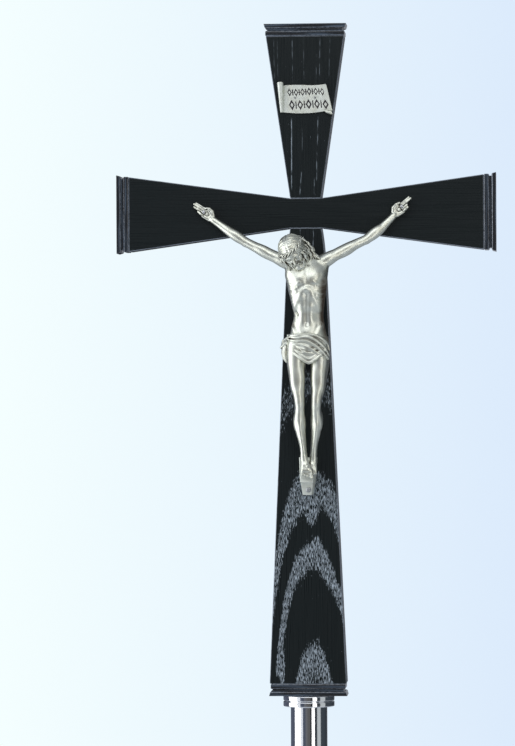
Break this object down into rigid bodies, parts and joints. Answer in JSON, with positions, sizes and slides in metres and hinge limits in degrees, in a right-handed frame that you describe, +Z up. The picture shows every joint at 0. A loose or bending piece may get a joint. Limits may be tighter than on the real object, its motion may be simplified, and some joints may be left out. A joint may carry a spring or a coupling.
{
  "type": "processional cross",
  "caption": "Waisted wooden cross with a cast metal figure and scroll, on a two-length tubular staff with a wooden grip; the upper length plugs into a socket.",
  "frame": {"origin": "centre of the staff's lower end, on its axis", "axes": "+Z up along the staff, -Y towards the front of the cross with the figure, +X to the viewer's right"},
  "size_m": [0.311, 0.0727, 2.1],
  "materials": {
    "black_oak": "black-stained oak with pale limed grain, satin",
    "grip_oak": "black-stained oak, turned, satin lacquer",
    "black_lacquer": "high-gloss black lacquer with polished edges",
    "antique_silver": "cast, silver-plated, polished high points with dark patina in the hollows",
    "chrome": "mirror-polished chrome plate",
    "steel": "turned steel",
    "brass": "turned brass",
    "nylon": "black nylon",
    "rubber": "matt black rubber"
  },
  "bodies": {
    "lower_staff": {"lower_tube": "chrome", "joint_collar": "chrome", "socket_bush_top": "nylon", "socket_bush_bottom": "nylon", "seat_plug": "steel", "foot_plug": "rubber"},
    "seat_ring": {"seat_washer": "nylon"},
    "upper_staff": {"upright": "black_oak", "crossbar": "black_oak", "grip_sleeve": "grip_oak", "top_cap_plate": "black_lacquer", "top_cap_neck": "black_lacquer", "top_cap_cover": "black_lacquer", "left_cap_plate": "black_lacquer", "left_cap_neck": "black_lacquer", "left_cap_cover": "black_lacquer", "right_cap_plate": "black_lacquer", "right_cap_neck": "black_lacquer", "right_cap_cover": "black_lacquer", "foot_cap_plate": "black_lacquer", "foot_cap_neck": "black_lacquer", "foot_cap_cover": "black_lacquer", "corpus": "antique_silver", "foot_rest": "antique_silver", "titulus_scroll": "antique_silver", "neck_flange": "chrome", "upper_tube": "chrome", "grip_top_ring": "chrome", "grip_bottom_ring": "chrome", "cap_screws": "steel", "palm_nails": "steel", "foot_rest_screw": "steel", "titulus_pins": "steel", "neck_stud": "steel", "head_plug": "steel", "ring_grub_screws": "steel", "spigot_plug": "steel", "insert_nut": "brass"}
  },
  "joints": [
    {"name": "staff_turn", "type": "hinge", "parent": "lower_staff", "child": "seat_ring", "pos_m": [0, 0, 0.724], "axis": [0, 0, 1], "continuous": true},
    {"name": "staff_lift", "type": "slide", "parent": "seat_ring", "child": "upper_staff", "axis": [0, 0, 1], "range_m": [0, 0.16]}
  ]
}
